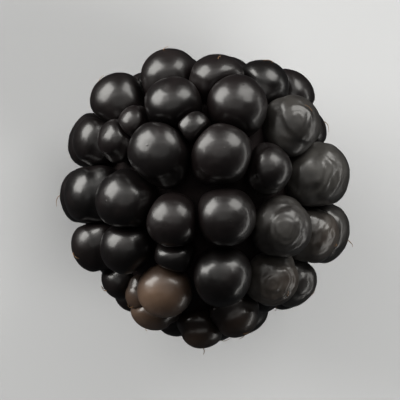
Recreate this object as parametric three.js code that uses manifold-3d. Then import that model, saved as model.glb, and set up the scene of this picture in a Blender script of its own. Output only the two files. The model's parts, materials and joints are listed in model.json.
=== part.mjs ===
// A ripe bramble berry, picked clean of its leaves and lying on its side.
//
// Units are millimetres, with +Z up. The fruit's long axis lies along Y: its tip points to -Y and
// its stem end to +Y. The origin is on the surface that the berry lies on, under the middle of the
// berry's bounding box.
//
// A bramble berry is an aggregate fruit. Its drupelets are small round fruits that grow in rows round
// a fleshy receptacle, pressed against each other, and they come off the plant as one body with it.
// The receptacle shows only at the stem end, as a pale plug where the stalk has let go.

import * as THREE from "three";
import { mergeVertices } from "three/addons/utils/BufferGeometryUtils.js";
import Module from "manifold-3d";

const wasm = await Module();
wasm.setup();

// ---------------------------------------------------------------- driving dimensions

// The fruit's shape: the surface on which the middles of the drupelets sit, turned round the axis.
const WIDEST_RADIUS = 10.8; // from the axis
const WIDEST_AT = 0.5; // along the axis, from the fruit's middle towards the stem end
const STEM_REACH = 11.2; // from the widest place to where that surface meets the axis
const STEM_BLUNTNESS = 2.6; // 2 is an ellipse, and more is squarer
const TIP_REACH = 12.6;
const TIP_BLUNTNESS = 2.0;

// The rows of drupelets, from the tip to the stem end: how far along the axis each lies, and how
// many drupelets it has. They are counted round the axis from its start, in degrees from the top.
const ROWS = [
  { name: "point", along: -12.0, count: 1, start: 220, radius: 1.7 },
  { name: "tip", along: -11.2, count: 4, start: 40, radius: 2.3 },
  { name: "e", along: -9.3, count: 7, start: -19, radius: 2.75 },
  { name: "d", along: -6.2, count: 12, start: 18, radius: 2.65 },
  { name: "c", along: -1.6, count: 13, start: 12, radius: 2.9 },
  { name: "b", along: 3.7, count: 13, start: 3, radius: 2.9 },
  { name: "a", along: 8.0, count: 10, start: 10, radius: 2.9 },
  { name: "stem", along: 10.8, count: 8, start: -5, radius: 2.6 },
];

// No berry grows quite regular. These drupelets of its upper side are out of step with their rows:
// each is turned round the axis by some degrees and moved along it, has a radius of its own, and
// stands out of the fruit or sinks into it.
const OUT_OF_STEP = [
  { row: "point", at: 0, turn: 0, along: 0, radius: 1.7, lift: -0.7 },
  { row: "tip", at: 0, turn: 0, along: -0.5, radius: 1.95, lift: 0 },
  { row: "tip", at: 1, turn: 0, along: 0, radius: 2.1, lift: -0.5 },
  { row: "tip", at: 2, turn: 0, along: 0.2, radius: 2.0, lift: -0.5 },
  { row: "tip", at: 3, turn: 8, along: 0.3, radius: 2.1, lift: -0.4 },
  { row: "e", at: 0, turn: 2, along: 0.6, radius: 2.55, lift: 0.1 },
  { row: "e", at: 1, turn: 18, along: -0.7, radius: 2.1, lift: 0 },
  { row: "e", at: 2, turn: 0, along: 0.9, radius: 1.9, lift: -1.2 },
  { row: "e", at: 5, turn: 12, along: 0.4, radius: 2.1, lift: -0.9 },
  { row: "e", at: 6, turn: -3, along: 0.3, radius: 1.8, lift: -0.7 },
  { row: "d", at: 0, turn: 0, along: -0.5, radius: 2.8, lift: 0 },
  { row: "d", at: 1, turn: 6, along: -0.1, radius: 2.4, lift: 0 },
  { row: "d", at: 2, turn: 3, along: 0.1, radius: 2.4, lift: 0 },
  { row: "d", at: 8, turn: 0, along: 0.4, radius: 2.3, lift: -0.4 },
  { row: "d", at: 9, turn: -1, along: 0.5, radius: 2.4, lift: 0 },
  { row: "d", at: 10, turn: 1, along: 0.75, radius: 2.45, lift: 0 },
  { row: "d", at: 11, turn: 0, along: 0.3, radius: 2.0, lift: -0.9 },
  { row: "c", at: 0, turn: 0, along: 0.3, radius: 2.7, lift: 0 },
  { row: "c", at: 1, turn: 6, along: 0.1, radius: 2.6, lift: 0 },
  { row: "c", at: 2, turn: 8, along: -0.1, radius: 2.6, lift: 0 },
  { row: "c", at: 3, turn: 0, along: 0.4, radius: 2.9, lift: 0.4 },
  { row: "c", at: 10, turn: -2, along: 0.4, radius: 2.8, lift: -0.2 },
  { row: "c", at: 11, turn: 3, along: 0.4, radius: 2.8, lift: 0 },
  { row: "c", at: 12, turn: 2, along: -0.8, radius: 2.4, lift: 0 },
  { row: "b", at: 0, turn: 2, along: 0.7, radius: 2.85, lift: 0 },
  { row: "b", at: 1, turn: 0, along: 0, radius: 2.0, lift: 0.1 },
  { row: "b", at: 2, turn: 12, along: 0.2, radius: 3.0, lift: 0 },
  { row: "b", at: 3, turn: 0, along: 0.3, radius: 2.8, lift: -0.3 },
  { row: "b", at: 9, turn: 5, along: 0, radius: 2.9, lift: 0 },
  { row: "b", at: 10, turn: 2, along: 0.1, radius: 2.4, lift: 0 },
  { row: "b", at: 11, turn: -1, along: 0.5, radius: 1.8, lift: 0.2 },
  { row: "b", at: 12, turn: -1, along: 0, radius: 2.9, lift: 0 },
  { row: "a", at: 0, turn: 1, along: 0.9, radius: 2.9, lift: 0 },
  { row: "a", at: 1, turn: 4, along: 0.1, radius: 2.6, lift: 0 },
  { row: "a", at: 2, turn: 0, along: 0.2, radius: 2.4, lift: -1.2 },
  { row: "a", at: 3, turn: 0, along: 0, radius: 2.5, lift: -0.6 },
  { row: "a", at: 7, turn: -1, along: -0.3, radius: 2.7, lift: -0.3 },
  { row: "a", at: 8, turn: -14, along: -0.3, radius: 2.75, lift: 0 },
  { row: "a", at: 9, turn: 0, along: 0, radius: 2.75, lift: 0 },
  { row: "stem", at: 1, turn: 8, along: 0.3, radius: 2.5, lift: 0 },
  { row: "stem", at: 6, turn: 4, along: -0.2, radius: 2.1, lift: -1.0 },
  { row: "stem", at: 7, turn: -4, along: -0.1, radius: 2.8, lift: -0.2 },
];

// Small late drupelets, which fill gaps that the rows leave. Their turn is counted from
// the top too, and their place along the axis from the fruit's middle.
const LATE_ONES = [
  { turn: -47, along: -10.0, radius: 1.6, lift: -0.6 },
  { turn: 78, along: -10.6, radius: 1.7, lift: -0.4 },
  { turn: 217, along: -10.3, radius: 1.8, lift: -0.3 },
  { turn: 265, along: -10.3, radius: 1.6, lift: -0.7 },
  { turn: -11, along: 6.2, radius: 1.6, lift: 0.1 },
  { turn: -45, along: 5.9, radius: 1.5, lift: 0.2 },
];

// A drupelet is a dome on a pressed waist, with a root in the core. These are in its own radii.
const RISE = 1.0; // from its middle to its top
const WAIST = 1.06; // its radius where it is pressed between its neighbours
const WAIST_AT = -0.5;
const ROOT = 0.45; // its radius at the end of its root
const ROOT_AT = -1.6;

// How much the others differ from one to the next, either way.
const SEED = 625;
const TURN_SPREAD = 2.5; // degrees round the axis
const ALONG_SPREAD = 0.35;
const SIZE_SPREAD = 0.08; // a share of the radius

// The core that carries the drupelets, and the round hollow for the plug at its stem end.
const CORE_SINK = 0.3; // how far the core's surface lies under the middles of the drupelets
const CORE_STEM_END = 10.4; // along the axis
const CORE_TIP_END = -11.4;
const PLUG_RADIUS = 3.3;
const PLUG_DOME = 0.9; // how far its middle stands above its rim
const PLUG_RIM_AT = 10.9;
const PLUG_FOOT_AT = 8.2;
const PLUG_CLEARANCE = 0.3;

// How the berry lies: its stem end sinks until three drupelets of its under side carry it. They go
// flat where they lie.
const PITCH = -2.2; // degrees about X
const AXIS_HEIGHT = 12.94; // of the fruit's middle above the surface
const SHIFT_X = -0.36; // so that the origin is under the middle of the bounding box
const SHIFT_Y = -0.06;

// Numbers of sides.
const DRUPELET_SIDES = 10;
const DRUPELET_RINGS = 3; // from its middle up to its top
const CORE_SIDES = 28;
const PLUG_SIDES = 24;

// ---------------------------------------------------------------- helpers

const radians = THREE.MathUtils.degToRad;

// A small repeatable random generator that gives numbers from -1 to 1.
function seededDraws(seed) {
  let state = seed >>> 0;
  return () => {
    state = (Math.imul(state, 1664525) + 1013904223) >>> 0;
    return (state / 2 ** 32) * 2 - 1;
  };
}

// A closed three.js geometry as a manifold-3d solid. Faces that collapse at a pole are dropped.
function solidOf(geometry) {
  const bare = geometry.index ? geometry.toNonIndexed() : geometry.clone();
  bare.deleteAttribute("normal");
  bare.deleteAttribute("uv");
  const merged = mergeVertices(bare, 1e-4);
  const corners = merged.index.array;
  const kept = [];
  for (let i = 0; i < corners.length; i += 3) {
    const [a, b, c] = corners.subarray(i, i + 3);
    if (a !== b && b !== c && c !== a) kept.push(a, b, c);
  }
  return new wasm.Manifold(
    new wasm.Mesh({
      numProp: 3,
      vertProperties: merged.attributes.position.array,
      triVerts: new Uint32Array(kept),
    }),
  );
}

function geometryOf(solid) {
  const mesh = solid.getMesh();
  const geometry = new THREE.BufferGeometry();
  geometry.setAttribute("position", new THREE.BufferAttribute(mesh.vertProperties, 3));
  geometry.setIndex(new THREE.BufferAttribute(mesh.triVerts, 1));
  geometry.computeVertexNormals();
  return geometry;
}

// A solid of revolution round the fruit's axis, from [radius, along] points that start and end on it.
function turned(points, sides) {
  return new THREE.LatheGeometry(
    points.map(([radius, along]) => new THREE.Vector2(radius, along)),
    sides,
  );
}

// ---------------------------------------------------------------- the fruit's form

// The radius and slope, at a place along the axis, of the surface that carries the drupelets.
function formAt(along) {
  const toStem = along > WIDEST_AT;
  const reach = toStem ? STEM_REACH : TIP_REACH;
  const power = toStem ? STEM_BLUNTNESS : TIP_BLUNTNESS;
  const share = Math.min(Math.abs(along - WIDEST_AT) / reach, 0.995);
  const rest = 1 - share ** power;
  const radius = WIDEST_RADIUS * rest ** (1 / power);
  const fall = (WIDEST_RADIUS / reach) * share ** (power - 1) * rest ** (1 / power - 1);
  return { radius, slope: toStem ? -fall : fall };
}

// One drupelet's place: its middle, the direction that it points in, and its radius.
function placeAt({ turn, along, radius, lift }) {
  const form = formAt(along);
  const [sine, cosine] = [Math.sin(radians(turn)), Math.cos(radians(turn))];
  const out = new THREE.Vector3(sine, -form.slope, cosine).normalize();
  const middle = new THREE.Vector3(form.radius * sine, along, form.radius * cosine);
  return { middle: middle.addScaledVector(out, lift), out, radius };
}

// All the places. The draws are made for every drupelet of the rows, so one that is out of step
// leaves the others where they are.
function drupeletPlaces() {
  const draw = seededDraws(SEED);
  const places = [];
  for (const row of ROWS) {
    for (let at = 0; at < row.count; at++) {
      const drawn = {
        turn: TURN_SPREAD * draw(),
        along: ALONG_SPREAD * draw(),
        radius: row.radius * (1 + SIZE_SPREAD * draw()),
        lift: 0,
      };
      const own = OUT_OF_STEP.find((odd) => odd.row === row.name && odd.at === at) ?? drawn;
      const turn = row.start + (360 * at) / row.count + own.turn;
      places.push(placeAt({ ...own, turn, along: row.along + own.along }));
    }
  }
  return places.concat(LATE_ONES.map(placeAt));
}

// ---------------------------------------------------------------- the pieces

// One drupelet. Its few sides stand half outside and half inside the circle that they stand for.
function drupelet({ middle, out, radius }) {
  const wide = radius / Math.sqrt(Math.cos(Math.PI / DRUPELET_SIDES));
  const outline = [
    [0, ROOT_AT * radius],
    [ROOT * wide, ROOT_AT * radius],
    [WAIST * wide, WAIST_AT * radius],
  ];
  for (let ring = 0; ring <= DRUPELET_RINGS; ring++) {
    const angle = (Math.PI / 2) * (ring / DRUPELET_RINGS);
    outline.push([wide * Math.cos(angle), RISE * radius * Math.sin(angle)]);
  }
  outline[outline.length - 1][0] = 0;
  const geometry = turned(outline, DRUPELET_SIDES);
  const upright = new THREE.Vector3(0, 1, 0);
  geometry.applyQuaternion(new THREE.Quaternion().setFromUnitVectors(upright, out));
  return geometry.translate(middle.x, middle.y, middle.z);
}

function core() {
  const steps = 14;
  const outline = [[0, CORE_TIP_END]];
  for (let i = 0; i <= steps; i++) {
    const along = CORE_TIP_END + ((CORE_STEM_END - CORE_TIP_END) * i) / steps;
    outline.push([formAt(along).radius - CORE_SINK, along]);
  }
  outline.push([0, CORE_STEM_END]);
  return turned(outline, CORE_SIDES);
}

function plugHollow() {
  const radius = PLUG_RADIUS + PLUG_CLEARANCE;
  const floor = PLUG_FOOT_AT - PLUG_CLEARANCE;
  const mouth = PLUG_RIM_AT + 6;
  return turned([[0, floor], [radius, floor], [radius, mouth], [0, mouth]], PLUG_SIDES);
}

function plug() {
  const outline = [[0, PLUG_FOOT_AT], [PLUG_RADIUS, PLUG_FOOT_AT]];
  const steps = 5;
  for (let i = 0; i <= steps; i++) {
    const angle = (Math.PI / 2) * (i / steps);
    outline.push([PLUG_RADIUS * Math.cos(angle), PLUG_RIM_AT + PLUG_DOME * Math.sin(angle)]);
  }
  outline[outline.length - 1][0] = 0;
  return turned(outline, PLUG_SIDES);
}

// Turns and lifts a piece from the fruit's own frame to the place where it lies.
const lyingDown = new THREE.Matrix4()
  .makeTranslation(SHIFT_X, SHIFT_Y, AXIS_HEIGHT)
  .multiply(new THREE.Matrix4().makeRotationX(radians(PITCH)));

function laid(geometry) {
  return solidOf(geometry.applyMatrix4(lyingDown));
}

// The surface under the berry, as a block: the drupelets that carry it go flat against its top.
function ground() {
  const size = 80;
  return new THREE.BoxGeometry(size, size, size).translate(0, 0, -size / 2);
}

function drupelets() {
  const bodies = [core(), ...drupeletPlaces().map(drupelet)].map(laid);
  return wasm.Manifold.union(bodies)
    .subtract(laid(plugHollow()))
    .subtract(solidOf(ground()));
}

function named(name, solid, material) {
  const mesh = new THREE.Mesh(geometryOf(solid), material);
  mesh.name = name;
  return mesh;
}

const ripeSkin = new THREE.MeshStandardMaterial({ color: 0x17100f, roughness: 0.3, metalness: 0 });
const paleFlesh = new THREE.MeshStandardMaterial({ color: 0xcfc69b, roughness: 0.7, metalness: 0 });

const berry = new THREE.Group();
berry.add(named("drupelets", drupelets(), ripeSkin));
berry.add(named("receptacle_plug", laid(plug()), paleFlesh));

export default berry;
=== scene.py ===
# %% [markdown]
# # A ripe bramble berry
#
# A bramble berry is not one fruit but about seventy small ones. Each drupelet is a drop of juice
# in a thin black skin, and all of them sit on one fleshy core, pressed against each other. This
# lesson dresses a plain solid model of such a berry: it keeps every drupelet's place and size, and
# gives each one the soft, pressed, glossy form that the plain solids only hint at.
#
# The plain model is loaded first. It stays where it is, and everything else is measured from it.

# %% Load the frame
import math

import bpy
import numpy as np
from mathutils import Matrix, Vector, noise
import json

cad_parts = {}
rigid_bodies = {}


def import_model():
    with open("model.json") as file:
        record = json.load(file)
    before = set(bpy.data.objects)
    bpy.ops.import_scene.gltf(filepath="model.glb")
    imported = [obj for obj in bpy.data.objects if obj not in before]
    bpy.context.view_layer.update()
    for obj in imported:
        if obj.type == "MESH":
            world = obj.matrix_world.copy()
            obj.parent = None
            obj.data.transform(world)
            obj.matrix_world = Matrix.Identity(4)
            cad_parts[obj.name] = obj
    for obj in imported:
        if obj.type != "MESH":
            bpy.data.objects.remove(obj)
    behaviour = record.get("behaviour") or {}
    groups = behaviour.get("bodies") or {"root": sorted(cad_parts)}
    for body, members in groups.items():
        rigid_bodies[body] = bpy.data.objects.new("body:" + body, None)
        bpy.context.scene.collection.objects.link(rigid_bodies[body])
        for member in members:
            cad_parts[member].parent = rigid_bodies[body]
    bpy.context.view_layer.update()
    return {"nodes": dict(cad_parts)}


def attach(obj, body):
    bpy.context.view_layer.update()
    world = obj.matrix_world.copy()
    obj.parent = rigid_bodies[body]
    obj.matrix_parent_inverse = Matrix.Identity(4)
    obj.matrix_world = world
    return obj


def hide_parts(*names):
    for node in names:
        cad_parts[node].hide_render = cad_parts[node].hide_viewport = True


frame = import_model()
MM = 0.001  # Blender works in metres here, and a berry is thought of in millimetres
print("nodes:", sorted(frame["nodes"]))

# %% [markdown]
# ## How the fruit lies
#
# It is easiest to think of a fruit that stands straight on its own axis, so the berry has a frame of
# its own: Y runs along its axis from the tip to the stem end, Z points up out of its top, and the
# origin is its middle. The berry lies with its stem end a little lower than its tip. One matrix takes
# a point from the fruit's own frame to the place where the berry lies.

# %% The fruit's own frame
PITCH = -2.2  # degrees about X
AXIS_HEIGHT = 12.94  # millimetres, as are all lengths from here on that don't say otherwise
SHIFT_X, SHIFT_Y = -0.36, -0.06

lying = Matrix.Translation((SHIFT_X * MM, SHIFT_Y * MM, AXIS_HEIGHT * MM)) @ Matrix.Rotation(
    math.radians(PITCH), 4, "X"
)
lie_turn = np.array(lying.to_3x3())
lie_shift = np.array(lying.translation)


def laid(points):
    """Points in the fruit's own millimetres, as points in metres where the berry lies."""
    return np.asarray(points) * MM @ lie_turn.T + lie_shift


fruit_middle = laid([0, 0, 0])
print("the fruit's middle lies at", [round(x / MM, 2) for x in fruit_middle], "mm")

# %% [markdown]
# ## The camera
#
# The berry is seen from straight above its own axis, from far away through a long lens, which keeps
# round things round. The view is turned nine degrees, so that the berry's tip points down and a
# little to the left.

# %% Place the camera
CAMERA_FAR = 600  # from the point that it aims at
VIEW_WIDE = 37.0  # across, where the berry lies
VIEW_TURN = math.radians(9)
AIM = (-0.3, -0.1, 0)  # in the fruit's own frame
CLIP_NEAR, CLIP_FAR = 0.01, 10  # metres

view_in_fruit = Matrix.Rotation(VIEW_TURN, 3, "Z")  # its columns are right, up and back
view_axes = lying.to_3x3() @ view_in_fruit
camera_data = bpy.data.cameras.new("camera")
camera_data.lens = camera_data.sensor_width * CAMERA_FAR / VIEW_WIDE
camera_data.clip_start, camera_data.clip_end = CLIP_NEAR, CLIP_FAR
camera = bpy.data.objects.new("camera", camera_data)
camera.matrix_world = Matrix.Translation(
    Vector(laid(AIM)) + view_axes.col[2] * CAMERA_FAR * MM
) @ view_axes.to_4x4()
bpy.context.scene.collection.objects.link(camera)
bpy.context.scene.camera = camera
print("lens, mm:", round(camera_data.lens))

# %% [markdown]
# ## Light
#
# Glossy black fruit has almost no colour of its own. What the eye sees on it is the reflection of the
# lights, so the lights are the most important part of the look. Two large soft panels stand low on
# the far side, the left one brighter, and each puts one soft spot on every drupelet. Two wide, weak
# panels, one between them and one high above, grey the skin between and below the spots. The near
# side stays dark, so that the lower half of each drupelet is black.
#
# A low strip close by on the right draws a thin line down that side of each drupelet, and the floor
# doesn't see it. The last light is the other way round: gloss doesn't show it, and it will be linked
# to the floor alone, to fill the shadow there.

# %% The lights
PANEL_FAR, STRIP_FAR = 900, 120  # from the berry's middle
LIGHT_COLOUR = (1, 0.985, 0.945)


def panel(name, right, up, back, distance, size, brightness):
    """A soft light. Its direction is given as the camera sees it: right, up, and back towards the
    camera. Brightness is what its surface sends out, so a larger panel gives more light."""
    data = bpy.data.lights.new(name, "AREA")
    data.shape, data.size, data.size_y = "RECTANGLE", size[0] * MM, size[1] * MM
    data.energy = brightness * math.pi * data.size * data.size_y
    data.color = LIGHT_COLOUR
    light = bpy.data.objects.new(name, data)
    way = (view_axes @ Vector((right, up, back))).normalized()
    light.matrix_world = (
        Matrix.Translation(Vector(fruit_middle) + way * distance * MM)
        @ way.to_track_quat("Z", "Y").to_matrix().to_4x4()
    )
    light.visible_camera = False
    bpy.context.scene.collection.objects.link(light)
    return light


panel("left_panel", -0.78, 0.57, 0.32, PANEL_FAR, (830, 680), 9.5)
panel("right_panel", 0.57, 0.72, 0.40, PANEL_FAR, (560, 600), 6.8)
panel("far_panel", -0.1, 0.66, 0.70, PANEL_FAR, (1200, 560), 0.9)
panel("high_panel", -0.05, 0.21, 1, PANEL_FAR, (1100, 800), 0.6)
strip = panel("side_strip", 0.95, -0.22, -0.03, STRIP_FAR, (200, 18), 4.5)
strip.visible_diffuse = False
fill = panel("floor_fill", 0.75, -0.60, 0.60, PANEL_FAR, (700, 700), 7.0)
fill.visible_glossy = False

# %% [markdown]
# ## Floor and surroundings
#
# The floor is plain and pale, but hidden from reflections, so that the drupelets' edges and the gaps
# between them stay dark, as they do where many berries lie together. A very faint glow from all round
# keeps the darkest places from turning quite black.

# %% The floor and the surroundings
FLOOR_SIDE = 4  # metres
GLOW_COLOUR, GLOW = (0.92, 0.95, 1, 1), 0.025

world = bpy.data.worlds.new("surroundings")
world.use_nodes = True
background = world.node_tree.nodes["Background"]
background.inputs["Color"].default_value = GLOW_COLOUR
background.inputs["Strength"].default_value = GLOW
bpy.context.scene.world = world
bpy.context.scene.view_settings.view_transform = "Standard"

bpy.ops.object.select_all(action="DESELECT")
bpy.ops.mesh.primitive_plane_add(size=FLOOR_SIDE)
floor = bpy.context.object
floor.name = "floor"
floor.visible_glossy = False
lit_by_fill = bpy.data.collections.new("lit_by_fill")
lit_by_fill.objects.link(floor)
fill.light_linking.receiver_collection = lit_by_fill
print(fill.name, "lights", [thing.name for thing in lit_by_fill.objects])

# %% [markdown]
# ## Where each drupelet sits
#
# The drupelets grow in rows round the axis, on a plump surface that is a little squarer at the stem
# end than at the tip. The rows are the same as in the plain model, and so are the drupelets that
# stand out of step and the small late ones that fill gaps between the rows. The others differ from each
# other by seeded random draws, made in the same order, so that every drupelet lands where its solid
# is.

# %% The rows
WIDEST_RADIUS, WIDEST_AT = 10.8, 0.5
STEM_REACH, STEM_BLUNTNESS = 11.2, 2.6
TIP_REACH, TIP_BLUNTNESS = 12.6, 2.0
MOST_OF_REACH = 0.995  # nearer to its ends than this, the surface isn't followed
SEED, TURN_SPREAD, ALONG_SPREAD, SIZE_SPREAD = 625, 2.5, 0.35, 0.08

# name: (along the axis, how many, first one's degrees from the top, radius)
ROWS = {
    "point": (-12.0, 1, 220, 1.7),
    "tip": (-11.2, 4, 40, 2.3),
    "e": (-9.3, 7, -19, 2.75),
    "d": (-6.2, 12, 18, 2.65),
    "c": (-1.6, 13, 12, 2.9),
    "b": (3.7, 13, 3, 2.9),
    "a": (8.0, 10, 10, 2.9),
    "stem": (10.8, 8, -5, 2.6),
}

# (row, which): (degrees round, along, radius, how far it stands out)
OUT_OF_STEP = {
    ("point", 0): (0, 0, 1.7, -0.7),
    ("tip", 0): (0, -0.5, 1.95, 0),
    ("tip", 1): (0, 0, 2.1, -0.5),
    ("tip", 2): (0, 0.2, 2.0, -0.5),
    ("tip", 3): (8, 0.3, 2.1, -0.4),
    ("e", 0): (2, 0.6, 2.55, 0.1),
    ("e", 1): (18, -0.7, 2.1, 0),
    ("e", 2): (0, 0.9, 1.9, -1.2),
    ("e", 5): (12, 0.4, 2.1, -0.9),
    ("e", 6): (-3, 0.3, 1.8, -0.7),
    ("d", 0): (0, -0.5, 2.8, 0),
    ("d", 1): (6, -0.1, 2.4, 0),
    ("d", 2): (3, 0.1, 2.4, 0),
    ("d", 8): (0, 0.4, 2.3, -0.4),
    ("d", 9): (-1, 0.5, 2.4, 0),
    ("d", 10): (1, 0.75, 2.45, 0),
    ("d", 11): (0, 0.3, 2.0, -0.9),
    ("c", 0): (0, 0.3, 2.7, 0),
    ("c", 1): (6, 0.1, 2.6, 0),
    ("c", 2): (8, -0.1, 2.6, 0),
    ("c", 3): (0, 0.4, 2.9, 0.4),
    ("c", 10): (-2, 0.4, 2.8, -0.2),
    ("c", 11): (3, 0.4, 2.8, 0),
    ("c", 12): (2, -0.8, 2.4, 0),
    ("b", 0): (2, 0.7, 2.85, 0),
    ("b", 1): (0, 0, 2.0, 0.1),
    ("b", 2): (12, 0.2, 3.0, 0),
    ("b", 3): (0, 0.3, 2.8, -0.3),
    ("b", 9): (5, 0, 2.9, 0),
    ("b", 10): (2, 0.1, 2.4, 0),
    ("b", 11): (-1, 0.5, 1.8, 0.2),
    ("b", 12): (-1, 0, 2.9, 0),
    ("a", 0): (1, 0.9, 2.9, 0),
    ("a", 1): (4, 0.1, 2.6, 0),
    ("a", 2): (0, 0.2, 2.4, -1.2),
    ("a", 3): (0, 0, 2.5, -0.6),
    ("a", 7): (-1, -0.3, 2.7, -0.3),
    ("a", 8): (-14, -0.3, 2.75, 0),
    ("a", 9): (0, 0, 2.75, 0),
    ("stem", 1): (8, 0.3, 2.5, 0),
    ("stem", 6): (4, -0.2, 2.1, -1.0),
    ("stem", 7): (-4, -0.1, 2.8, -0.2),
}

# (degrees from the top, along, radius, how far it stands out)
LATE_ONES = [
    (-47, -10.0, 1.6, -0.6),
    (78, -10.6, 1.7, -0.4),
    (217, -10.3, 1.8, -0.3),
    (265, -10.3, 1.6, -0.7),
    (-11, 6.2, 1.6, 0.1),
    (-45, 5.9, 1.5, 0.2),
]
print("in rows:", sum(count for _, count, _, _ in ROWS.values()), "and late:", len(LATE_ONES))


# %% Work out the places
def unit(vector):
    return vector / np.linalg.norm(vector)


def form_at(along):
    """The radius and slope of the surface that carries the drupelets."""
    to_stem = along > WIDEST_AT
    reach, power = (STEM_REACH, STEM_BLUNTNESS) if to_stem else (TIP_REACH, TIP_BLUNTNESS)
    share = min(abs(along - WIDEST_AT) / reach, MOST_OF_REACH)
    rest = 1 - share**power
    fall = WIDEST_RADIUS / reach * share ** (power - 1) * rest ** (1 / power - 1)
    return WIDEST_RADIUS * rest ** (1 / power), -fall if to_stem else fall


def place_at(name, turn, along, radius, lift):
    """One drupelet: its row and number, its middle, the way it points, and its radius."""
    level, slope = form_at(along)
    sine, cosine = math.sin(math.radians(turn)), math.cos(math.radians(turn))
    out = unit(np.array([sine, -slope, cosine]))
    middle = np.array([level * sine, along, level * cosine]) + lift * out
    return {"name": name, "middle": middle, "out": out, "radius": radius}


def draws(seed):
    """A small repeatable random generator of numbers from -1 to 1."""
    state = seed
    while True:
        state = (state * 1664525 + 1013904223) % 2**32
        yield state / 2**32 * 2 - 1


def all_places():
    draw, found = draws(SEED), []
    for row, (row_along, count, start, row_radius) in ROWS.items():
        for at in range(count):
            turn, along = TURN_SPREAD * next(draw), ALONG_SPREAD * next(draw)
            drawn = turn, along, row_radius * (1 + SIZE_SPREAD * next(draw)), 0
            turn, along, radius, lift = OUT_OF_STEP.get((row, at), drawn)
            turn += start + 360 * at / count
            found.append(place_at((row, at), turn, row_along + along, radius, lift))
    for at, (turn, along, radius, lift) in enumerate(LATE_ONES):
        found.append(place_at(("late", at), turn, along, radius, lift))
    return found


places = all_places()
radii = [place["radius"] for place in places]
print(len(places), "drupelets, radii", round(min(radii), 2), "to", round(max(radii), 2), "mm")

# %% [markdown]
# ## Helpers for modelling
#
# In edit mode an operator acts on whatever is selected, so two small helpers do most of the work: one
# starts a piece with nothing else selected, and one selects points of the mesh by where they are. The
# others read a mesh's points, put them somewhere else, and give each point a value that a finish can
# read later.

# %% Selection and points
def alone(piece=None):
    """Leaves edit mode, and selects this piece only, or nothing."""
    if bpy.context.object and bpy.context.object.mode != "OBJECT":
        bpy.ops.object.mode_set(mode="OBJECT")
    bpy.ops.object.select_all(action="DESELECT")
    if piece:
        piece.select_set(True)
        bpy.context.view_layer.objects.active = piece


def points_of(mesh):
    at = np.empty(len(mesh.vertices) * 3)
    mesh.vertices.foreach_get("co", at)
    return at.reshape(-1, 3)


def put_points(mesh, points):
    mesh.vertices.foreach_set("co", points.ravel())


def mark_points(mesh, name, values):
    mesh.attributes.new(name, "FLOAT", "POINT").data.foreach_set("value", values)


def pick(piece, wanted):
    """In edit mode, selects the points whose place passes the test, and the faces between them."""
    bpy.ops.object.mode_set(mode="OBJECT")
    mesh = piece.data
    chosen = np.array(wanted(points_of(mesh)), bool)
    mesh.vertices.foreach_set("select", chosen)
    for parts in (mesh.edges, mesh.polygons):
        parts.foreach_set("select", [all(chosen[v] for v in part.vertices) for part in parts])
    bpy.ops.object.mode_set(mode="EDIT")


# %% [markdown]
# ## One drupelet
#
# A drupelet alone is a plump bead: round on top, widest just under its middle, and drawn in to a blunt
# root. At its very top is a tiny sunken scar with a nub in it, where the dried style stood. It starts
# as a sphere of radius one. The part below its belly is scaled outwards and down and then softened,
# the top is inset twice to make the scar, and a subdivision surface rounds all of it off.

# %% Model the bead
SEGMENTS, RINGS = 32, 26
WIDE = 1.04  # the sphere's radius sideways
BELLY = 0.10  # the height of its equator
BELOW_BELLY, ROUND_BELLY = BELLY - 0.05, BELLY + 0.25  # what is swollen, and what is softened
SWELLING, ROOT_LENGTH = 1.30, 1.4  # of the part below the belly, sideways and down
SOFTENING = 6  # rounds
SCAR_FROM, SCAR_RIM, SCAR_DEPTH = 0.98, 0.11, 0.010
NUB_RIM, NUB_HEIGHT = 0.025, 0.012

alone()
bpy.ops.mesh.primitive_uv_sphere_add(segments=SEGMENTS, ring_count=RINGS, radius=1)
bead = bpy.context.object
bead.name = "bead"
bpy.ops.object.mode_set(mode="EDIT")
bpy.ops.mesh.select_mode(type="VERT")
bpy.ops.mesh.select_all(action="SELECT")
bpy.ops.transform.resize(value=(WIDE, WIDE, 1 - BELLY))
bpy.ops.transform.translate(value=(0, 0, BELLY))
pick(bead, lambda at: at[:, 2] < BELOW_BELLY)
bpy.ops.transform.resize(value=(SWELLING, SWELLING, ROOT_LENGTH), center_override=(0, 0, BELLY))
pick(bead, lambda at: at[:, 2] < ROUND_BELLY)
bpy.ops.mesh.vertices_smooth(factor=0.5, repeat=SOFTENING)
pick(bead, lambda at: at[:, 2] > SCAR_FROM)
bpy.ops.mesh.inset(thickness=SCAR_RIM)
bpy.ops.transform.translate(value=(0, 0, -SCAR_DEPTH))
bpy.ops.mesh.inset(thickness=NUB_RIM)
bpy.ops.transform.translate(value=(0, 0, NUB_HEIGHT))
alone(bead)
rounding = bead.modifiers.new("Rounding", "SUBSURF")
rounding.levels = rounding.render_levels = 1
bpy.ops.object.modifier_apply(modifier=rounding.name)
print("bead:", len(bead.data.polygons), "faces")

# %% Measure the bead
bead_points = points_of(bead.data)
bead_reach = np.linalg.norm(bead_points, axis=1)
bead_ways = bead_points / bead_reach[:, None]
bead_from_top = np.arccos(np.clip(bead_ways[:, 2], -1, 1))

bead_radius = np.hypot(bead_points[:, 0], bead_points[:, 1])
lowest, highest = bead_points[:, 2].min().round(2), bead_points[:, 2].max().round(2)
widest_height = bead_points[bead_radius.argmax(), 2].round(2)
print("it reaches from height", lowest, "to", highest)
print("its widest radius is", bead_radius.max().round(2), "at height", widest_height)

# %% [markdown]
# ## Seventy-four drupelets, pressed together
#
# On the plant the drupelets swell until they push against each other, and each border becomes nearly
# flat. The flat border between two round things of different size is the plane where their power is
# equal. Each point of a copy of the bead lies in some direction from the drupelet's middle: in that
# direction it goes as far as the bead would, or as far as the nearest such plane, and a smooth minimum
# of the two rounds the edge between them. This can't be done by hand for seventy-four pieces, so it is
# worked out for all points of a copy at once.

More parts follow.
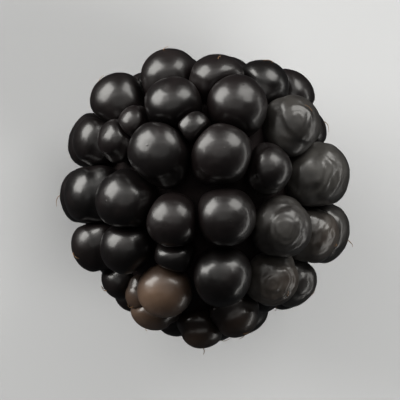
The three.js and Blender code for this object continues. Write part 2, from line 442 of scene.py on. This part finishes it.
# %% Press one drupelet
HARDNESS = 8.0  # of the smooth minimum: more is a sharper edge between dome and border
NEAR = 0.8  # between two drupelets that still count as neighbours
LEAST_FACING = 0.02  # a border counts only for points that look at least this much towards it
LEAST_BORDER = 0.3  # from a drupelet's middle
PUSH = {("e", 0): 0.5, ("d", 11): -0.4}  # how much one outgrows its neighbours, or gives way


def neighbours_of(place):
    """The drupelets that press on this one, each with the way to it and its distance."""
    for other in places:
        gap = other["middle"] - place["middle"]
        distance = np.linalg.norm(gap)
        if other is not place and distance <= place["radius"] + other["radius"] + NEAR:
            yield other, gap / distance, distance


def pressed(place, reach, directions):
    """How far the skin goes in each direction, where by itself it would go as far as reach."""
    total = reach**-HARDNESS
    for other, way, distance in neighbours_of(place):
        border = (distance**2 + place["radius"] ** 2 - other["radius"] ** 2) / (2 * distance)
        border += (PUSH.get(place["name"], 0) - PUSH.get(other["name"], 0)) / 2
        facing = directions @ way
        nearness = np.maximum(facing, LEAST_FACING) / max(border, LEAST_BORDER)
        total += np.where(facing > LEAST_FACING, nearness, 0) ** HARDNESS
    return total ** (-1 / HARDNESS)


crowding = [len(list(neighbours_of(place))) for place in places]
print("each drupelet has", min(crowding), "to", max(crowding), "neighbours")

# %% [markdown]
# No two drupelets swell alike. All of them are a little uneven, and ripe skin gives a little, so each
# one also gets a few shallow dents. Both change how far the bead reaches before it is pressed.

# %% Uneven and dented skin
WANDER_SCALE, WANDER = 1.7, 0.010  # long waves
RIPPLE_SCALE, RIPPLE = 4.5, 0.006  # and short ones on them
DENTS = 3
DENT_DEPTH = 0.035  # of the radius, at most
DENT_SHARE = (0.2, 1)  # of that depth
DENT_LEAN, DENT_WIDTH = (0.25, 1.2), (0.35, 0.8)  # radians: from the top, and from middle to side


def uneven(scale, shift):
    """Smooth noise round the bead, one number for each of its points."""
    return np.array([noise.noise(Vector(way) * scale + Vector(shift)) for way in bead_ways])


def dent(random):
    """The depth of one random dent at each point, as a share of the radius."""
    lean, bearing = random.uniform(*DENT_LEAN), random.uniform(0, 2 * math.pi)
    aside = math.sin(lean)
    middle = np.array([aside * math.cos(bearing), aside * math.sin(bearing), math.cos(lean)])
    off = np.arccos(np.clip(bead_ways @ middle, -1, 1)) / random.uniform(*DENT_WIDTH)
    return random.uniform(*DENT_SHARE) * DENT_DEPTH * np.exp(-(off**2))


deepest = max(radii) * DENT_DEPTH
print(DENTS, "dents on each drupelet, none deeper than", round(deepest, 2), "mm")

# %% [markdown]
# Some of the older drupelets have begun to shrink, and have fine folds in broken rings. A sine wave of
# the angle from the rings' middle makes the folds, and noise bends them and breaks them up. They are
# strongest at one distance from there, and fade out on both sides of it. The other drupelets get the
# same folds round their own tops, so faint that they hardly show.

# %% Folded skin
FOLD_DEPTH = 0.036  # of the radius
FOLD_PITCH = 0.38  # radians from one fold to the next
FOLDS_AT, FOLDS_WIDE = 0.6, 0.55  # radians from the rings' middle
FOLD_BEND = 4  # radians of the wave
UNBROKEN, BROKEN_BY = 0.6, 1.6  # what is left of a fold, and how much the short waves change that
RING_START = -2.7  # puts the first ridge close round the middle
FAINT_FOLDS = 0.10  # at most, on one that hasn't begun to shrink
# (row, which): (how strongly folded, the way to its rings' middle: right, up and back in the view)
WRINKLED = {
    ("a", 1): (0.5, (0.10, 0.05, 1)),
    ("b", 2): (1.0, (-0.25, 0.05, 1)),
    ("c", 1): (0.6, (0.10, 0.05, 1)),
    ("c", 2): (1.0, (0.10, 0.42, 1)),
    ("c", 3): (0.5, (0.5, 0.1, 1)),
    ("d", 1): (1.0, (0.05, -0.15, 1)),
    ("d", 2): (0.6, (0.5, -0.2, 1)),
}


def folds(place, directions, faint, wander, ripple):
    """The height of the folds at each point, as a share of the radius."""
    strength, eye = WRINKLED.get(place["name"], (faint, None))
    eye = place["out"] if eye is None else unit(np.array(view_in_fruit @ Vector(eye)))
    from_eye = np.arccos(np.clip(directions @ eye, -1, 1))
    window = np.exp(-(((from_eye - FOLDS_AT) / FOLDS_WIDE) ** 2))
    window *= np.clip(UNBROKEN + BROKEN_BY * ripple, 0, 1)
    waves = np.sin(from_eye * 2 * math.pi / FOLD_PITCH + RING_START + FOLD_BEND * wander)
    return strength * FOLD_DEPTH * window * waves


print(len(WRINKLED), "drupelets have begun to shrink")

# %% [markdown]
# The stem end's drupelets stand round the plug, and leave a round hollow free for it: points that
# would stand inside the hollow are moved out to its wall.

# %% Leave room for the plug
HOLLOW_RADIUS, HOLLOW_FLOOR = 3.6, 7.9
HOLLOW_EASE = 0.8  # over this length below its floor, points are moved out more and more
HOLLOW_SHARPNESS = 12


def leave_hollow(points):
    from_axis = np.hypot(points[:, 0], points[:, 2])
    freed = (from_axis**HOLLOW_SHARPNESS + HOLLOW_RADIUS**HOLLOW_SHARPNESS) ** (1 / HOLLOW_SHARPNESS)
    share = np.clip((points[:, 1] - HOLLOW_FLOOR + HOLLOW_EASE) / HOLLOW_EASE, 0, 1)
    scale = 1 + share * (freed / np.maximum(from_axis, 1e-6) - 1)
    points[:, [0, 2]] *= scale[:, None]
    return points


print("the hollow is", 2 * HOLLOW_RADIUS, "mm across")

# %% [markdown]
# One drupelet's shape now comes together. Its bead is turned at random about its own axis, and some
# drupelets have slimmer flanks than the bead.

# %% Swell one drupelet
SLIM = {  # how much of the flanks' swelling one lacks
    ("stem", 7): 0.8,
    ("a", 0): 0.8,
    ("a", 8): 0.9,
    ("a", 9): 0.6,
    ("b", 0): 0.3,
    ("c", 0): 0.6,
    ("c", 1): 0.3,
    ("c", 11): 0.5,
    ("c", 12): 0.6,
    ("d", 0): 0.8,
    ("d", 10): 0.6,
    ("d", 11): 0.7,
    ("e", 0): 0.9,
}
SHAPE_SEED = 1000


def side_axes(out, spin):
    """Two directions square to a drupelet's own, turned round it by spin radians."""
    first = unit(np.cross(out, (0.0, 1.0, 0.0)))
    second = np.cross(out, first)
    sine, cosine = math.sin(spin), math.cos(spin)
    return cosine * first + sine * second, -sine * first + cosine * second


def swollen(place, index):
    """The bead's points for one drupelet, pressed by its neighbours, in the fruit's own frame."""
    random = np.random.default_rng(SHAPE_SEED + index)
    across, over = side_axes(place["out"], random.uniform(0, 2 * math.pi))
    directions = bead_ways[:, :1] * across + bead_ways[:, 1:2] * over + bead_ways[:, 2:] * place["out"]
    shape = bead_reach - SLIM.get(place["name"], 0) * np.maximum(bead_reach - 1, 0)
    start = random.uniform(0, 100)
    wander, ripple = uneven(WANDER_SCALE, (start, 0, 0)), uneven(RIPPLE_SCALE, (0, start, 0))
    shape += RIPPLE * ripple + WANDER * wander
    for _ in range(DENTS):
        shape -= dent(random)
    shape += folds(place, directions, random.uniform(0, FAINT_FOLDS), wander, ripple)
    reach = pressed(place, place["radius"] * shape, directions)
    return leave_hollow(place["middle"] + directions * reach[:, None])


sample = swollen(places[0], 0)
print(places[0]["name"], "is", [round(float(side), 2) for side in np.ptp(sample, axis=0)], "mm")

# %% [markdown]
# The bead is now copied for each drupelet, and each copy takes its swollen points. The points also
# carry what the skin's finish needs to know: how unripe and how folded this drupelet is, which sets a
# duller skin and how much painted sheen it gets, its own tone of black, and how far each point is from
# its top, which sets the painted shade down its flanks. The copies of a row are joined, so that a row
# is one piece.

# %% Copy and press the bead
GROUPS = {
    "drupelets_tip": ("point", "tip", "late", "e"),
    "drupelets_row_d": ("d",),
    "drupelets_row_c": ("c",),
    "drupelets_row_b": ("b",),
    "drupelets_row_a": ("a",),
    "drupelets_stem_end": ("stem",),
}
UNRIPE = {
    ("e", 0): 1.0,
    ("tip", 3): 0.7,
    ("tip", 2): 0.5,
    ("late", 0): 0.5,
    ("tip", 0): 0.35,
    ("e", 1): 0.2,
    ("d", 1): 0.2,
    ("c", 2): 0.2,
}
TONE_SEED = 2000

made = {group: [] for group in GROUPS}
for index, place in enumerate(places):
    points = laid(swollen(place, index))
    points[:, 2] = np.maximum(points[:, 2], 0)  # flat where it rests on the floor
    mesh = bead.data.copy()
    put_points(mesh, points)
    for name, value in (
        ("unripe", UNRIPE.get(place["name"], 0.0)),
        # how folded: a little rougher, and how much painted sheen the skin gets
        ("dull", WRINKLED.get(place["name"], (0.0,))[0]),
        ("tone", float(np.random.default_rng(TONE_SEED + index).uniform())),
    ):
        mark_points(mesh, name, np.full(len(points), value))
    # how far each point is from its top, which sets the painted shade down the flanks
    mark_points(mesh, "from_top", bead_from_top)
    copy = bpy.data.objects.new(f"drupelet_{index}", mesh)
    bpy.context.scene.collection.objects.link(copy)
    group = next(name for name, rows in GROUPS.items() if place["name"][0] in rows)
    made[group].append(copy)
print("copies:", {group: len(copies) for group, copies in made.items()})

# %% Join each row
pieces = {}
for group, copies in made.items():
    alone(copies[0])
    for copy in copies:
        copy.select_set(True)
    bpy.ops.object.join()
    pieces[group] = bpy.context.object
    pieces[group].name = pieces[group].data.name = group
    bpy.ops.object.shade_smooth()
    print(group, len(pieces[group].data.polygons), "faces")
alone(bead)
bpy.ops.object.delete()

# %% [markdown]
# ## The core between the drupelets
#
# Where three drupelets meet, a small pit stays open between them, and one looks down on the core,
# whose near-black colour is painted shade. The core is turned like a bowl on a lathe: a row of points
# from the tip round to the stem end is spun about the fruit's axis, with a round hollow for the plug.

# %% The core's profile
CORE_DEPTH = 1.7  # under the drupelets' middles
CORE_TIP, CORE_FROM, CORE_TO = -11.3, -11.1, 10.1  # along the axis
CORE_STEPS, CORE_SIDES = 40, 72
WALL = HOLLOW_RADIUS - 0.02
# round the edge of the hollow: (radius, along the axis)
LIP = [(5.4, 10.35), (4.4, 10.45), (HOLLOW_RADIUS + 0.1, 10.3), (WALL, 9.8)]

profile = [(0.0, CORE_TIP)]
for along in np.linspace(CORE_FROM, CORE_TO, CORE_STEPS):
    profile.append((form_at(along)[0] - CORE_DEPTH, along))
profile += LIP + [(WALL, HOLLOW_FLOOR), (0.0, HOLLOW_FLOOR)]
core_radius = max(radius for radius, _ in profile)
print("profile:", len(profile), "points, radius at most", round(core_radius, 2), "mm")

# %% Spin the core
alone()
bpy.ops.mesh.primitive_plane_add(size=1)
core = bpy.context.object
core.name = "core"
bpy.ops.object.mode_set(mode="EDIT")
bpy.ops.mesh.delete(type="VERT")
bpy.ops.object.mode_set(mode="OBJECT")
lines = [(step, step + 1) for step in range(len(profile) - 1)]
core.data.from_pydata([(radius, along, 0) for radius, along in profile], lines, [])
alone(core)
bpy.ops.object.mode_set(mode="EDIT")
bpy.ops.mesh.select_all(action="SELECT")
bpy.ops.mesh.spin(steps=CORE_SIDES, angle=2 * math.pi, center=(0, 0, 0), axis=(0, 1, 0))
bpy.ops.mesh.select_all(action="SELECT")
bpy.ops.mesh.remove_doubles(threshold=1e-4)
bpy.ops.mesh.normals_make_consistent(inside=False)
bpy.ops.object.mode_set(mode="OBJECT")
put_points(core.data, laid(points_of(core.data)))
bpy.ops.object.shade_smooth()
pieces["core"] = core
print("core:", len(core.data.polygons), "faces")

# %% [markdown]
# ## The plug
#
# A picked bramble keeps its receptacle, and where the stalk let go the end of it shows as a pale plug.
# It is low and blunt, with a small dimple in the middle, where the stalk's own fibres came through,
# and fine ribs that run out from there. It starts as a disc at its foot, which is extruded up to the
# rim. The top is then inset many times, which gives it enough rings of points to be raised into the
# dome, the dimple and the ribs.

# %% Model the plug
PLUG_RADIUS, PLUG_FOOT, PLUG_RIM = 3.3, 8.2, 10.9
PLUG_SIDES, INSETS = 128, 15

alone()
bpy.ops.mesh.primitive_circle_add(vertices=PLUG_SIDES, radius=PLUG_RADIUS, fill_type="NGON")
plug = bpy.context.object
plug.name = "receptacle_plug_flesh"
bpy.ops.object.mode_set(mode="EDIT")
bpy.ops.mesh.select_all(action="SELECT")
bpy.ops.mesh.extrude_region_move(TRANSFORM_OT_translate={"value": (0, 0, PLUG_RIM - PLUG_FOOT)})
for _ in range(INSETS):
    bpy.ops.mesh.inset(thickness=PLUG_RADIUS / (INSETS + 2))
bpy.ops.mesh.select_all(action="SELECT")
bpy.ops.mesh.normals_make_consistent(inside=False)
bpy.ops.object.mode_set(mode="OBJECT")
print("plug:", len(plug.data.polygons), "faces")

# %% Raise its dome, dimple and ribs
DOME_HEIGHT, DOME_BLUNTNESS = 0.7, 4
DIMPLE_DEPTH, DIMPLE_WIDE = 0.35, 0.16  # widths and places here are shares of the plug's radius
RING_HEIGHT, RING_AT, RING_WIDE = 0.12, 0.36, 0.12  # the raised ring round the dimple
RIB_HEIGHT, RIB_TURNS, RIB_LENGTH = 0.16, 5, 0.9  # the noise changes faster round than outwards
LUMP_HEIGHT, LUMP_SCALE = 0.12, 0.8
TOP_SINK = 0.05
FLARE, FLARE_FROM = 0.22, 0.6  # how far its rim leans out over the hollow's edge, and from where

at = points_of(plug.data)
on_top = at[:, 2] > (PLUG_RIM - PLUG_FOOT) / 2
from_axis = np.hypot(at[:, 0], at[:, 1]) / PLUG_RADIUS
within = np.clip(from_axis, 0, 1)
ribs = []
for bearing, far in zip(np.arctan2(at[:, 1], at[:, 0]), from_axis):
    spot = math.cos(bearing) * RIB_TURNS, math.sin(bearing) * RIB_TURNS, far * RIB_LENGTH
    ribs.append(noise.noise(Vector(spot)))
ribs = np.array(ribs)
lumps = np.array([noise.noise(Vector(point) * LUMP_SCALE) for point in at])
rim = 1 - within**DOME_BLUNTNESS
dome = DOME_HEIGHT * rim - DIMPLE_DEPTH * np.exp(-((from_axis / DIMPLE_WIDE) ** 2))
dome += RING_HEIGHT * np.exp(-(((from_axis - RING_AT) / RING_WIDE) ** 2))
dome += RIB_HEIGHT * ribs * np.sin(math.pi * within) + LUMP_HEIGHT * lumps * rim
at[:, 2] += np.where(on_top, dome - TOP_SINK, 0)
flare = 1 + FLARE / PLUG_RADIUS * from_axis**3
at[:, :2] *= np.where(on_top & (from_axis > FLARE_FROM), flare, 1)[:, None]
put_points(plug.data, laid(np.stack([at[:, 0], PLUG_FOOT + at[:, 2], -at[:, 1]], axis=1)))
mark_points(plug.data, "from_axis", from_axis)
mark_points(plug.data, "ribs", ribs)
alone(plug)
bpy.ops.object.shade_smooth()
pieces["plug"] = plug
print("the plug's top is", round(PLUG_FOOT + float(at[:, 2].max()), 2), "mm along the axis")

# %% [markdown]
# ## Dried styles
#
# Each drupelet once carried a style, a fine thread at its very top. Most of them have rubbed off, but
# some are still there, dry, brown and bent over. Each one is a short curve that thins out towards its
# end. Its section has four corners, which is round enough for so thin a thread. All of them become one
# mesh. The drupelets that face the camera have lost theirs.

# %% Grow the styles
STYLE_SHARE = 0.55  # of the drupelets that don't face the camera
STYLE_THICKNESS = 0.045  # half across, at its foot
STYLE_TAPER = 0.6  # of that, lost by its end
STYLE_LENGTH, STYLE_CURL = (0.6, 1.4), (0.8, 1.3)
STYLE_DROOP, STYLE_BEND = 0.75, 1.5  # how much of its height the curl takes, and how late it bends
STYLE_WAVE, STYLE_SWING = 0.10, 5  # how far it waves from side to side, and how many radians of it
STYLE_FOOT = 0.94  # of the drupelet's radius
STYLE_STEPS = 7
RUBBED_OFF = 0.55  # one that faces the camera more than this has none, where 1 is straight on
STYLE_SEED = 77

curves = bpy.data.curves.new("dried_styles", "CURVE")
curves.dimensions, curves.use_fill_caps = "3D", True
curves.bevel_depth, curves.bevel_resolution = STYLE_THICKNESS * MM, 0
random = np.random.default_rng(STYLE_SEED)
for place in places:
    kept, spin = random.uniform() < STYLE_SHARE, random.uniform(0, 2 * math.pi)
    length, curl = random.uniform(*STYLE_LENGTH), random.uniform(*STYLE_CURL)
    out = place["out"]
    across, over = side_axes(out, spin)
    facing_camera = view_axes.col[2] @ Vector(lie_turn @ out)
    if not kept or place["name"][0] == "point" or facing_camera > RUBBED_OFF:
        continue
    foot = place["middle"] + out * place["radius"] * STYLE_FOOT
    line = curves.splines.new("POLY")
    line.points.add(STYLE_STEPS)
    for step, point in enumerate(line.points):
        share = step / STYLE_STEPS
        rise, fall = share * out * (1 - STYLE_DROOP * curl * share), curl * share**STYLE_BEND * across
        wave = STYLE_WAVE * math.sin(share * STYLE_SWING) * over
        spot = laid(foot + length * (rise + fall) + wave)
        spot[2] = max(spot[2], STYLE_THICKNESS * MM)  # one that reaches the floor lies on it
        point.co = (*spot, 1)
        point.radius = 1 - STYLE_TAPER * share
print("styles:", len(curves.splines), "threads")

# %% Make them a mesh
styles = bpy.data.objects.new("dried_styles", curves)
bpy.context.scene.collection.objects.link(styles)
alone(styles)
bpy.ops.object.convert(target="MESH")
styles = bpy.context.object
bpy.ops.object.shade_smooth()
print("styles:", len(styles.data.polygons), "faces")

# %% [markdown]
# ## Writing a finish
#
# A material is a tree of nodes. Two small classes make it readable: with the first, sums on sockets
# are written as Python sums, and with the second, one call adds any node.

# %% Sums on sockets
class Signal:
    """A shader socket on which Python's operators add Math nodes."""

    def __init__(self, finish, socket):
        self.finish, self.socket = finish, socket

    def _math(self, operation, first, second):
        return self.finish.node("Math", {"operation": operation}, {0: first, 1: second})

    def __add__(self, other):
        return self._math("ADD", self, other)

    def __sub__(self, other):
        return self._math("SUBTRACT", self, other)

    def __rsub__(self, other):
        return self._math("SUBTRACT", other, self)

    def __mul__(self, other):
        return self._math("MULTIPLY", self, other)

    __radd__, __rmul__ = __add__, __mul__


# %% A finish and its nodes
class Finish:
    """A new material, and one call that adds any node to it."""

    def __init__(self, name):
        self.material = bpy.data.materials.new(name)
        self.material.use_nodes = True
        self.tree = self.material.node_tree
        self.tree.nodes.clear()

    def node(self, kind, settings=None, values=None, output=0):
        node = self.tree.nodes.new("ShaderNode" + kind)
        for name, value in (settings or {}).items():
            if name == "stops":
                self.set_stops(node.color_ramp.elements, value)
            else:
                setattr(node, name, value)
        for name, value in (values or {}).items():
            by_name = (socket for socket in node.inputs if socket.name == name and socket.enabled)
            found = node.inputs[name] if isinstance(name, int) else next(by_name)
            if isinstance(value, Signal):
                self.tree.links.new(value.socket, found)
            else:
                found.default_value = (*value, 1) if found.type == "RGBA" else value
        outputs = [socket for socket in node.outputs if socket.enabled]
        if outputs:
            return Signal(self, outputs[output] if isinstance(output, int) else node.outputs[output])

    def set_stops(self, elements, stops):
        """A ramp's colours, each with its position."""
        for position, _ in stops[len(elements) :]:
            elements.new(position)
        for element, (position, colour) in zip(elements, stops):
            element.position, element.color = position, (*colour, 1)

    def mark(self, name):
        """A value that the piece's points carry."""
        return self.node("Attribute", {"attribute_name": name}, output="Fac")

    def mix(self, share, first, second):
        """A blend of two colours."""
        return self.node("Mix", {"data_type": "RGBA"}, {"Factor": share, "A": first, "B": second})

    def speckle(self, scale, detail=2.0):
        """Smooth noise from 0 to 1, with this many lumps to the metre."""
        values = {"Vector": self.node("TexCoord", output="Object"), "Scale": scale, "Detail": detail}
        return self.node("TexNoise", {"noise_dimensions": "3D"}, values)

    def between(self, signal, low, high):
        """0 below low, 1 above high, and smooth between."""
        values = {"Value": signal, "From Min": low, "From Max": high}
        return self.node("MapRange", {"interpolation_type": "SMOOTHSTEP"}, values)

    def bump(self, height, strength, distance):
        """Fine relief, with its full height in metres."""
        values = {"Strength": strength, "Distance": distance, "Height": height}
        return self.node("Bump", {}, values)

    def done(self, values):
        """Makes the surface, and returns the material."""
        surface = self.node("BsdfPrincipled", {}, values)
        self.node("OutputMaterial", {}, {"Surface": surface})
        print(self.material.name, "has", len(self.tree.nodes), "nodes")
        return self.material


# %% [markdown]
# ## Skin
#
# Ripe skin is so dark that it is nearly black, with a trace of red where it is thin. It has the satin
# of a thin wax, and a clearer gloss on top of that. Near the tip some drupelets are still brown, most
# of all round their tops: the brown fades to black down their flanks, which is painted shade. The
# folded ones are paler grey in patches, partly a duller skin and partly painted sheen that stands
# for the reflection of bright surroundings to their right.

# %% The skin's colour
BLACK, BLACK_RED, CLOUDED = (0.0025, 0.002, 0.002), (0.005, 0.003, 0.003), (0.009, 0.006, 0.006)
DARK_BROWN, LIGHT_BROWN = (0.069, 0.041, 0.027), (0.126, 0.081, 0.054)
# paler grey for the folded drupelets: partly a duller skin, partly painted sheen for bright
# surroundings on their right
DULL_GREY_AND_SHEEN = (0.050, 0.047, 0.043)

skin = Finish("bramble_skin")
tone, dull = skin.mark("tone"), skin.mark("dull")
clouds = skin.speckle(450, 3)
black = skin.mix(tone, BLACK, BLACK_RED)
black = skin.mix(skin.between(clouds, 0.45, 0.75) * 0.6, black, CLOUDED)
brown = skin.mix(clouds, DARK_BROWN, LIGHT_BROWN)
# brown where a drupelet is still unripe; the fade to black down its flanks is painted shade
unripe_brown_and_flank_shade = skin.mark("unripe") * (1 - skin.between(skin.mark("from_top"), 0.6, 1.5) * 0.7)
# paler grey patches on folded drupelets: partly a duller skin, partly painted sheen
bloom_and_painted_sheen = dull * (0.45 + skin.between(clouds, 0.35, 0.65) * 0.7)
skin_colour = skin.mix(unripe_brown_and_flank_shade, skin.mix(bloom_and_painted_sheen, black, DULL_GREY_AND_SHEEN), brown)
print("so far the skin has", len(skin.tree.nodes), "nodes")

# %% The skin's gloss and grain
dimples, grain = skin.speckle(1500), skin.speckle(5200)
skin_material = skin.done(
    {
        "Base Color": skin_colour,
        "Roughness": 0.30 + clouds * 0.10 + tone * 0.05 + dull * 0.02,
        "IOR": 1.45,
        "Coat Weight": 0.35,
        "Coat Roughness": 0.18,
        "Coat IOR": 1.45,
        "Normal": skin.bump(dimples + grain * 0.15, 0.12, 0.0001),
    }
)

# %% [markdown]
# The core lies in the dark between the drupelets. Its skin is rough and has hardly any gloss, and its
# near-black red colour is painted shade, so that the pits stay dark.

# %% The core's skin
flesh = Finish("core_skin_painted_shade")
lumps = flesh.speckle(900, 3)
core_shade_material = flesh.done(
    {
        # near-black: painted shade for the pits between the drupelets
        "Base Color": flesh.mix(lumps, (0.003, 0.002, 0.002), (0.010, 0.005, 0.005)),
        "Roughness": 0.8,
        "Specular IOR Level": 0.15,
        "Normal": flesh.bump(lumps, 0.3, 0.0002),
    }
)

# %% [markdown]
# The plug's flesh is pale green in the middle, cream further out, and a little dry and brown at the rim
# and along the ribs. A ramp gives the colours from the middle outwards, and fine noise frays the
# borders between them.

# %% The plug's flesh
FLESH_STOPS = (
    (0.0, (0.13, 0.12, 0.045)),
    (0.14, (0.26, 0.25, 0.11)),
    (0.35, (0.42, 0.39, 0.23)),
    (0.80, (0.44, 0.39, 0.24)),
    (1.0, (0.22, 0.13, 0.06)),
)
DRY_RIB = (0.30, 0.23, 0.11)

pale = Finish("receptacle_flesh")
fibre = pale.speckle(1400, 3)
from_middle = pale.mark("from_axis") + (fibre - 0.5) * 0.25
cream = pale.node("ValToRGB", {"stops": FLESH_STOPS}, {0: from_middle})
plug_material = pale.done(
    {
        "Base Color": pale.mix(pale.between(pale.mark("ribs"), 0.0, 0.35) * 0.6, cream, DRY_RIB),
        "Roughness": 0.60,
        "Normal": pale.bump(fibre, 0.3, 0.0001),
    }
)

# %% [markdown]
# The dried styles are brown, some of them darker than others. The floor is one plain grey without any
# gloss, so that nothing on it draws the eye.

# %% The styles' and the floor's finish
dry = Finish("dry_style")
style_material = dry.done(
    {
        "Base Color": dry.mix(dry.speckle(700), (0.10, 0.045, 0.018), (0.30, 0.17, 0.075)),
        "Roughness": 0.55,
    }
)
ground = Finish("pale_floor")
floor_material = ground.done(
    {"Base Color": (0.37, 0.375, 0.385), "Roughness": 0.9, "Specular IOR Level": 0.0}
)

# %% [markdown]
# ## Putting it together
#
# Each piece gets its finish. It rides on the berry's only body, and takes the place of the plain solid
# that it covers. The dried styles cover nothing in the plain model, so they only ride.

# %% Finishes, bodies and slots
own_material = {"core": core_shade_material, "plug": plug_material}
for name, piece in pieces.items():
    piece.data.materials.clear()
    piece.data.materials.append(own_material.get(name, skin_material))
    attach(piece, "root")
    if name == "plug":
        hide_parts("receptacle_plug")
    else:
        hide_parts("drupelets")

styles.data.materials.append(style_material)
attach(styles, "root")
floor.data.materials.append(floor_material)
print("pieces:", [piece.name for piece in (*pieces.values(), styles)])

# %% Finish
alone()
